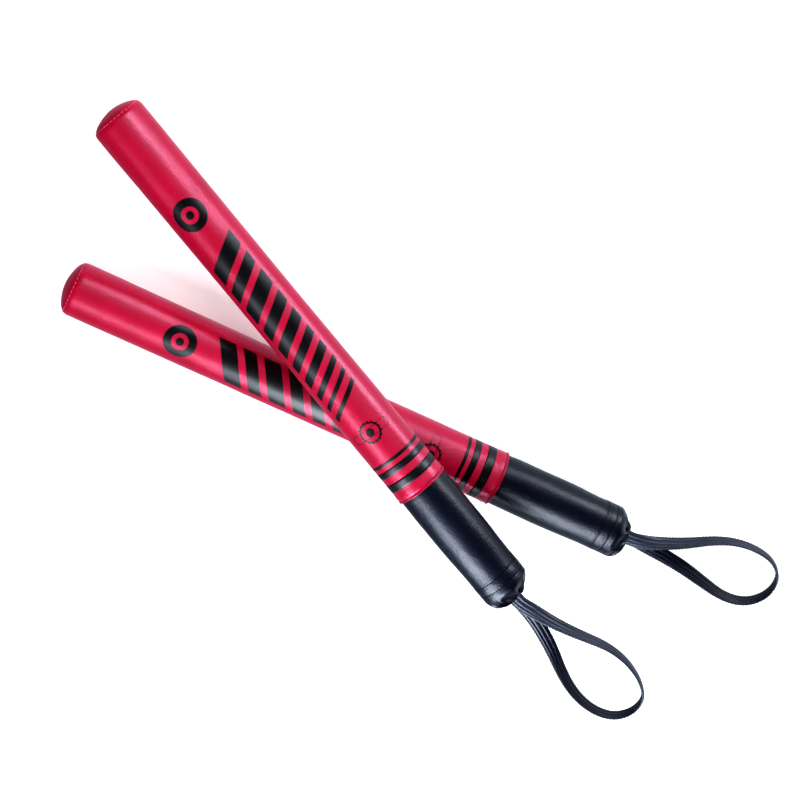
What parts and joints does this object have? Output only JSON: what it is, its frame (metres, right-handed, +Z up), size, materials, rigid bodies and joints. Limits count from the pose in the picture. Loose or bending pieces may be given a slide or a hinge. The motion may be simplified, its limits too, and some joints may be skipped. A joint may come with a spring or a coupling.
{
  "type": "focus training sticks",
  "caption": "Crossed pair of padded training sticks: stiff tube core, foam, red padded blade, black handle with a gathered end and a flat wrist strap loop.",
  "frame": {"origin": "on the floor under the middle of the two sticks' bounding box, without the strap loops", "axes": "+Z up from the floor; +X from the tips towards the lower stick's butt, the pair's longest extent; +Y towards the upper stick's tip"},
  "size_m": [0.677, 0.5846, 0.1251],
  "materials": {
    "red_leather": "satin",
    "black_leather": "satin",
    "strap_leather": "satin",
    "print_film": "satin",
    "foam": "matte",
    "pvc": "satin",
    "plug_plastic": "matte",
    "pin_steel": "satin",
    "red_thread": "matte",
    "black_thread": "matte"
  },
  "bodies": {
    "lower_stick": {"lower_tip_cap": "red_leather", "lower_blade_cover": "red_leather", "lower_handle_cover": "black_leather", "lower_end_collar": "black_leather", "lower_strap_tails": "strap_leather", "lower_tip_pad": "foam", "lower_blade_foam": "foam", "lower_handle_foam": "foam", "lower_butt_pad": "foam", "lower_core_tube": "pvc", "lower_tip_plug": "plug_plastic", "lower_butt_plug": "plug_plastic", "lower_strap_pin": "pin_steel", "lower_tip_thread": "red_thread", "lower_hem_thread": "red_thread", "lower_collar_threads": "black_thread", "lower_gather_thread": "black_thread"},
    "upper_stick": {"upper_tip_cap": "red_leather", "upper_blade_cover": "red_leather", "upper_handle_cover": "black_leather", "upper_end_collar": "black_leather", "upper_strap_tails": "strap_leather", "upper_tip_pad": "foam", "upper_blade_foam": "foam", "upper_handle_foam": "foam", "upper_butt_pad": "foam", "upper_core_tube": "pvc", "upper_tip_plug": "plug_plastic", "upper_butt_plug": "plug_plastic", "upper_strap_pin": "pin_steel", "upper_tip_thread": "red_thread", "upper_hem_thread": "red_thread", "upper_collar_threads": "black_thread", "upper_gather_thread": "black_thread"},
    "lower_strap": {"lower_wrist_strap": "strap_leather"},
    "upper_strap": {"upper_wrist_strap": "strap_leather"}
  },
  "joints": [
    {"name": "upper_stick_lift", "type": "slide", "parent": "lower_stick", "child": "upper_stick", "axis": [0, 0, 1], "range_m": [0, 0.12]},
    {"name": "lower_strap_swing", "type": "hinge", "parent": "lower_stick", "child": "lower_strap", "pos_m": [0.26531, -0.19663, 0.02565], "axis": [0, 0, 1], "range_deg": [-15, 50]},
    {"name": "upper_strap_swing", "type": "hinge", "parent": "upper_stick", "child": "upper_strap", "pos_m": [0.15677, -0.22523, 0.10411], "axis": [0, 0, 1], "range_deg": [-50, 15]}
  ]
}
